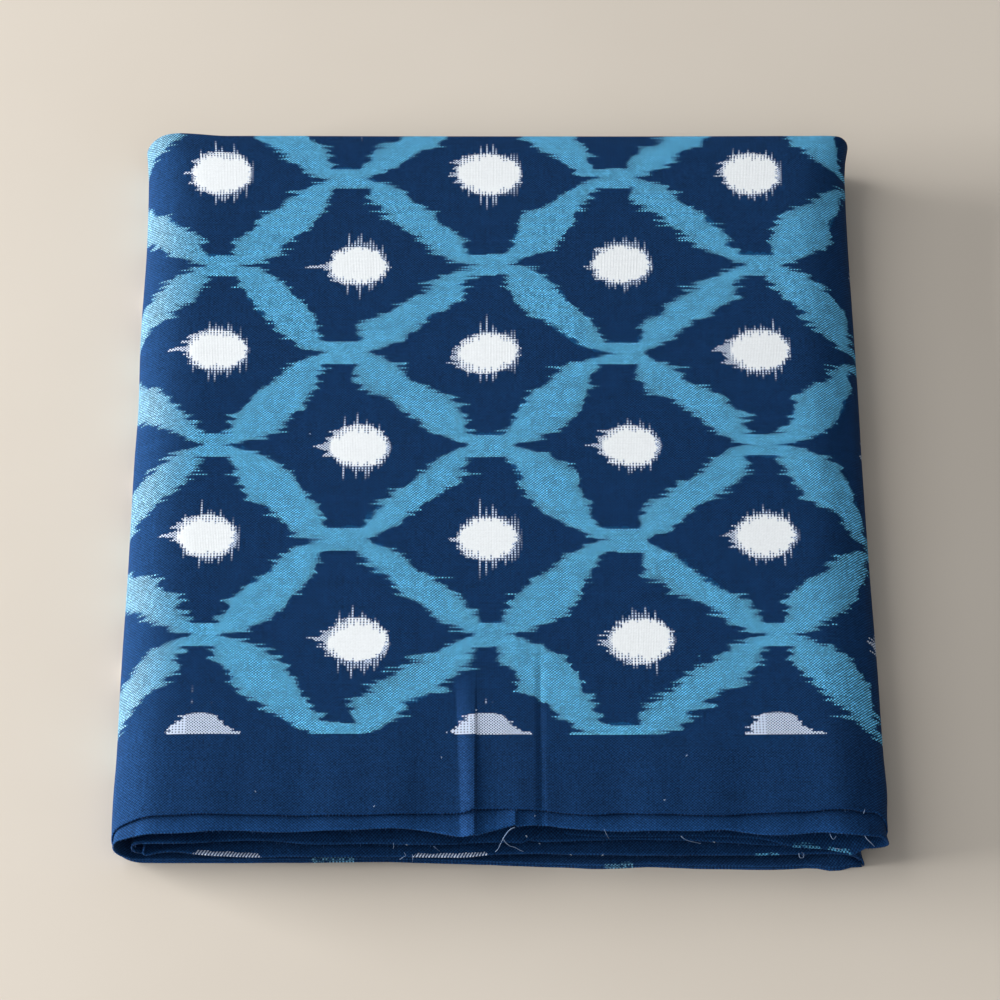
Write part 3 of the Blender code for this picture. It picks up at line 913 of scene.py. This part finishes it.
def cloth_material(station_u):
    """Plain-woven cotton whose two sets of threads were dyed before weaving, so each thread steps on its own."""
    material, tree, shader = new_material("ikat_cotton", 0.9, 0.05)

    def uv_fields(name):
        uv = new_node(tree, "UVMap", uv_map=name)
        parts = new_node(tree, "SeparateXYZ", {0: uv.outputs[0]})
        return Field(parts.outputs[0]), Field(parts.outputs[1])

    u, v = uv_fields("threads")
    from_edge = uv_fields("margins")[1]

    # Each thread's number and the middle of it. The twist of the yarn makes one diagonal of the weave stronger.
    # Numbers that are added inside the noises and chances only make one unlike another.
    row = (v / THREAD_PITCH).math("FLOOR")
    column = (u / THREAD_PITCH).math("FLOOR")
    row_v = (row + 0.5) * THREAD_PITCH
    column_u = (column + 0.5) * THREAD_PITCH
    turn = math.pi / THREAD_PITCH
    weave = (u * turn).math("SINE") * (v * turn).math("SINE")
    twist = ((u - v) * turn).math("COSINE")
    speck = chance(tree, "2D", Vector=vector_of(row, column)) - 0.5
    slub = smooth_noise(u / 0.0009, v / 0.0008 + 3.0)[0]
    dye = smooth_noise(u / 0.0040 + 5.0, v / 0.0048, detail=3.0, roughness=0.65)

    # Slow drift of the whole pattern, unlike in the two sets of threads
    drift = smooth_noise(u / DRIFT_SIZE, v / DRIFT_SIZE)
    other_drift = smooth_noise(u / OTHER_DRIFT_SIZE + 7.3, v / OTHER_DRIFT_SIZE + 2.9)

    # Bundles of threads that were tied together step together, each to a point, and each thread a little on its own
    near_front = (1.0 - v / 0.10).at_least(0.0)
    tying = smooth_noise(u / 0.090, row_v / 0.0050 + 8.0)
    bundle_place = row_v / BUNDLE + tying[0] * 1.6
    strand_place = row_v / STRAND + tying[1] * 1.4 + 0.3
    bundle_size = smooth_noise(u / 0.020, bundle_place.math("FLOOR") * 3.7)
    strand_size = smooth_noise(u / 0.012, strand_place.math("FLOOR") * 5.3 + 40.0)
    odd = chance(tree, "1D", W=row + 0.37)
    odd_long = (odd - 0.90).at_least(0.0) * 10.0

    def tips(channel, shift):
        coarse = bundle_points(bundle_place + shift, (bundle_size[channel] * 3.0 + 0.55).at_least(0.0))
        fine = bundle_points(strand_place + shift, (strand_size[channel] * 3.0 + 0.55).at_least(0.0))
        return coarse, fine

    def edge_spread(channel, shift):
        coarse, fine = tips(channel, shift)
        spread = (coarse * BAND_BUNDLE_TIP + fine * BAND_STRAND_TIP) * (near_front * 0.8 + 1.0)
        spread = spread + other_drift[channel] * 0.07
        return spread + (odd - 0.5) * 0.018 + odd_long * BAND_LONG_TIP - 0.017

    # Threads along X. Rows of them have slipped a little sideways against the others.
    slip = smooth_noise(u / 0.060 + 3.1, row_v / 0.014)[0] * 0.008
    a = (u + drift[0] * DRIFT_U + slip) / REPEAT_X + PATTERN_SHIFT_X
    b = PATTERN_ROW - (row_v + drift[1] * DRIFT_V) / REPEAT_Y
    wider, other_wider = leaf_shape(a, u)
    band = band_field(a, b, edge_spread(0, 0.0) + wider - 0.002, edge_spread(1, 0.5) + other_wider - 0.002)
    band = band.soft_above(0.016)
    patterned = (PATTERN_ROW - row_v / REPEAT_Y).size()
    in_pattern = 1.0 - patterned.above(BORDER_ROW)
    from_border = (BORDER_ROW - patterned) * REPEAT_Y
    lens = (1.0 - from_border / LENS).clamped()
    coarse, fine = tips(2, 0.37)
    dot_tips = coarse * DOT_BUNDLE_TIP + fine * DOT_STRAND_TIP + odd_long * DOT_LONG_TIP
    half_dots = patterned.above(BORDER_ROW - HALF_ROW)
    last_row = ((v - LAST_ROW_V) / 0.010).clamped()
    places = dot_places(u, v, last_row, half_dots)
    down = (b + places[0]).from_whole()
    other_down = 0.5 - (b - places[2]).from_whole()
    from_row = down.at_most(other_down) * REPEAT_Y
    dot_chance = chance(tree, "2D", Vector=vector_of((b * 2.0).math("ROUND"), (a * 2.0).math("ROUND")))
    point = (1.0 - from_row / 0.0012).at_least(0.0) * (dot_chance - 0.45).at_least(0.0) * 0.006
    left_shift = dot_tips * 0.55 + point + other_drift[0] * 0.004 + slip * 0.5 + half_dots * 0.0006 + 0.0003
    dot_a = (u + drift[0] * DRIFT_U + left_shift * (1.0 - lens) - lens * 0.0019) / REPEAT_X + PATTERN_SHIFT_X
    dot_spread = dot_tips + point + (odd - 0.5) * 0.0016 + lens * (odd * 0.0018 + 0.0005)
    dot = dot_field(dot_a, b, places, DOT_RADII, dot_spread, last_row * LAST_ROW_TALLER).soft_above(0.06)

    # Threads along Y. Every other one runs on past the dots, and here and there a group of them far past.
    cross_bundle = smooth_noise(column_u / 0.0036 + 31.0, v / 0.030, detail=2.0, roughness=0.7)
    cross_odd = chance(tree, "1D", W=column + 0.73)
    cross_even = column.math("PINGPONG", 1.0)
    cross_a = (column_u + drift[0] * DRIFT_U + other_drift[0] * OTHER_DRIFT_U) / REPEAT_X + PATTERN_SHIFT_X
    cross_b = PATTERN_ROW - (v + other_drift[1] * OTHER_DRIFT_V + cross_bundle[1] * 0.003) / REPEAT_Y
    cross_edge = cross_bundle[0] * 0.05 + (cross_odd - 0.5) * 0.026 - 0.022
    wider, other_wider = leaf_shape(cross_a, column_u)
    cross_band = band_field(cross_a, cross_b, cross_edge + wider, cross_edge + other_wider).soft_above(0.010)
    half_columns = cross_a * 2.0
    right_of_middle = (half_columns - half_columns.math("ROUND")) * (REPEAT_X / 2 / 0.0105)
    cross_group = (cross_bundle[2] * 3.4 + right_of_middle * 0.30 + 0.05).at_least(0.0)
    flank = 1.0 - right_of_middle * right_of_middle * 0.75
    tooth = cross_odd ** 2.0
    streaks = (tooth * 0.0036 + cross_group * (tooth * 1.25 + 0.05) * 0.0050 + 0.0003) * cross_even * flank
    fading = streaks.at_least(0.0) * 130.0 + 0.16
    streaks = streaks - (1.0 - cross_even) * (cross_odd * 0.0022 + 0.0004)
    cross_dot = dot_field(cross_a, cross_b, places, CROSS_DOT_RADII, 0.0 * u, streaks + last_row * LAST_ROW_TALLER)
    cross_dot = cross_dot.soft_above(fading)
    cross_dotted = 1.0 - patterned.above(BORDER_ROW - 0.15)
    half_dot = half_dots * cross_even * (right_of_middle + 0.40).math("LESS_THAN", 0.0)

    # Colours of the two sets
    from_cut = from_edge + (odd - 0.5) * 0.0006 + cross_bundle[1] * 0.001
    white_mark, blue_mark = mark_fields(u, v, from_cut, station_u)
    dashes = (((u - from_edge * 0.55) * (2 * math.pi / 0.00095)).math("SINE") + 0.45).clamped()
    white_mark = white_mark * dashes * (speck * 0.4 + 0.75)
    blue_mark = blue_mark * (speck + slub * 1.5).above(-0.30)
    blue_threads = (band * in_pattern).at_least(blue_mark * 0.45)
    white_threads = (dot * in_pattern).at_least(white_mark)
    cross_blue = (cross_band * in_pattern).at_least(blue_mark * cross_odd.above(0.5) * 0.5)
    cross_white = (cross_dot * cross_dotted).at_least(dot * half_dot * in_pattern).at_least(white_mark)
    only_lengthways = white_threads * (1.0 - cross_white)
    only_crossways = cross_white * (1.0 - white_threads)
    only_blue = blue_threads * (1.0 - cross_blue)
    cover = only_lengthways * (half_dots * 0.55 + 0.20) - only_crossways * 0.9
    cover = cover + blue_threads * 0.25 - only_blue * 0.12
    lengthways_on_top = (weave * 3.6 + speck * 0.5 + cover + 0.62).clamped()
    lengthways = mix_colour(blue_threads, LENGTHWAYS_NAVY, LENGTHWAYS_BLUE)
    white = mix_colour(white_threads * cross_white * (1.0 - half_dots), SOFT_WHITE, WHITE)
    lengthways = mix_colour(white_threads, lengthways, white)
    crossways = mix_colour(cross_blue, CROSSWAYS_NAVY, CROSSWAYS_BLUE)
    crossways = mix_colour(cross_white, crossways, white)
    colour = mix_colour(lengthways_on_top, crossways, lengthways)
    whiteness = (1.0 - lengthways_on_top) * cross_white + lengthways_on_top * white_threads

    # Uneven dye and yarn, the twist, the dark gaps between threads, and the paler rubbed cut edges. The weave shows
    # most where the threads are blue.
    yarn = smooth_noise(u / 0.020, row * 0.83)
    cross_yarn = smooth_noise(column * 0.71 + 11.0, v / 0.020)
    relief = weave.size() ** 0.6
    blueness = lengthways_on_top * blue_threads + (1.0 - lengthways_on_top) * cross_blue
    far_back = ((v - 0.17) / 0.08).clamped()
    coarseness = NAVY_WEAVE + blue_threads * (BLUE_WEAVE - far_back * FAR_WEAVE) - whiteness * WHITE_WEAVE
    uneven = yarn[0] * YARN_TONE + cross_yarn[0] * YARN_TONE + dye[0] * DYE_TONE + slub * SLUB_TONE
    uneven = uneven * (1.0 - whiteness * 0.9)
    weaving = (twist * TWIST_TONE + speck * SPECK_TONE + (relief - 0.6) * GAP_TONE) * coarseness
    rubbed = (1.0 - from_edge / RUBBED_EDGE + yarn[1]).clamped()
    # Painted light: the front margin of ply B on the top pass is painted lighter
    top_margin_light = v.above(PACKET_DEPTH) * (0.110 - u.size()).above(0.0)
    top_margin_light = top_margin_light * (1.0 - from_edge / TOP_MARGIN).clamped()
    tone = (1.0 + uneven) * (1.0 + weaving) * (rubbed * RUBBED_PALER + 1.0) * (top_margin_light * TOP_MARGIN_PAINTED_LIGHT + 1.0)
    colour = colour_times(colour, tone)
    # Painted highlights on the crease slopes that face the light from the left, in navy only
    pale = 0.0 * u
    for crease_highlight in CREASE_HIGHLIGHTS:
        along = ((crease_highlight.length - from_edge) / (0.3 * crease_highlight.length)).clamped()
        place = u + (from_edge - CREASE_HIGHLIGHT_PIVOT) * CREASE_HIGHLIGHT_LEAN
        left = ((place - crease_highlight.start) / CREASE_HIGHLIGHT_SOFT_LEFT).clamped()
        right = ((crease_highlight.end - place) / CREASE_HIGHLIGHT_SOFT_RIGHT).clamped()
        pale = pale + left * right * along * crease_highlight.share
    pale = pale * (1.0 - blueness * 0.75) * (1.0 - whiteness)
    colour = mix_colour(pale, colour, colour_times(colour, CREASE_HIGHLIGHT_NAVY))
    # Painted light on the fold at the left, which faces the low light from the left
    fold = ((FOLD_LIGHT_FROM - u) / FOLD_LIGHT_FADE).clamped()
    fold_lit_colour = mix_colour(blueness, colour_times(colour, FOLD_LIGHT_NAVY), colour_times(colour, FOLD_LIGHT_BLUE))
    tree.links.new(mix_colour(fold * (1.0 - whiteness), colour, fold_lit_colour), shader.inputs["Base Color"])

    add_bump(shader, relief + yarn[1] * 0.8 + cross_yarn[1] * 0.8, 0.5, 0.0001)
    shader.inputs["Sheen Weight"].default_value = 0.04
    shader.inputs["Sheen Roughness"].default_value = 0.5
    shader.inputs["Sheen Tint"].default_value = (0.55, 0.75, 1.0, 1.0)
    return material


def strand_material(name, dark, light):
    """Cotton fibre that is darker and lighter from place to place."""
    material, tree, shader = new_material(name, 0.9, 0.15)
    mottle = mottle_field(tree, 900.0, 2.0)
    share = ((mottle - 0.3) * 2.5).clamped()
    tree.links.new(mix_colour(share, srgb(*dark), srgb(*light)), shader.inputs["Base Color"])
    add_bump(shader, mottle, 0.4, 0.00005)
    return material


def place_facing(thing, location, target):
    """Put a camera or a lamp somewhere, facing a target."""
    thing.location = location
    thing.rotation_mode = "QUATERNION"
    thing.rotation_quaternion = (target - location).to_track_quat("-Z", "Y")


def make_camera():
    """The photograph's view, far off with a long lens."""
    target = Vector((0.0, FRONT_Y - CENTRE_Y + VIEW_BACK, VIEW_HEIGHT))
    camera = add_object("camera", bpy.data.cameras.new("camera"))
    camera.data.sensor_width = 36.0
    camera.data.lens = VIEW_LENS
    camera.data.clip_start = 0.05
    camera.data.clip_end = 20.0
    toward = Vector((0.0, -math.cos(VIEW_ELEVATION), math.sin(VIEW_ELEVATION)))
    place_facing(camera, target + toward * VIEW_DISTANCE, target)
    bpy.context.scene.camera = camera


def area_light(name, location, size, power, colour):
    """A soft rectangular lamp that faces the cloth."""
    lamp = bpy.data.lights.new(name, "AREA")
    lamp.shape = "RECTANGLE"
    lamp.size, lamp.size_y = size
    lamp.energy = power
    lamp.color = colour
    place_facing(add_object(name, lamp), Vector(location), Vector())


def make_lights():
    """Soft low window light from the left, softer light from above it, and pale light from everywhere else."""
    area_light("window", (-1.8, 0.10, 0.38), (1.3, 0.5), 80.0, (1.0, 0.99, 0.97))
    area_light("sky", (-1.25, 0.1, 1.4), (1.7, 1.5), 14.5, (1.0, 0.99, 0.97))
    area_light("room", (0.1, -1.2, 1.4), (1.6, 1.6), 6.5, (1.0, 0.98, 0.96))
    world = bpy.data.worlds.new("pale_room")
    world.use_nodes = True
    background = world.node_tree.nodes["Background"]
    background.inputs["Color"].default_value = (0.95, 0.97, 1.0, 1.0)
    background.inputs["Strength"].default_value = 0.22
    bpy.context.scene.world = world


def make_floor():
    """A plain pale floor under the cloth."""
    bm = bmesh.new()
    bmesh.ops.create_grid(bm, x_segments=1, y_segments=1, size=3.0)
    floor = mesh_object("floor", bm)
    material, tree, shader = new_material("pale_floor", 0.6, 0.2)
    share = mottle_field(tree, 9.0, 3.0)
    colour = mix_colour(share, srgb(208, 199, 187), srgb(216, 208, 197))
    tree.links.new(colour, shader.inputs["Base Color"])
    floor.data.materials.append(material)
    return floor


make_camera()
bpy.context.scene.view_settings.view_transform = "Standard"
floor = make_floor()
stations, station_us, rows = sheet_grid()
cloth = make_sheet(rows)


def station_u(part, x):
    """The u of a place in a pass."""
    places = sorted((s.x, u) for s, u in zip(stations, station_us) if s.part == part)
    (x0, u0), (x1, u1) = next(pair for pair in zip(places, places[1:]) if pair[1][0] >= x)
    return u0 + (u1 - u0) * (x - x0) / (x1 - x0)


cloth.data.materials.append(cloth_material(station_u))
loose_pieces = [make_loose_threads(), make_thread_ends(rows), make_lint(cloth)]
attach(cloth, BODY)
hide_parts(NODE)
make_lights()
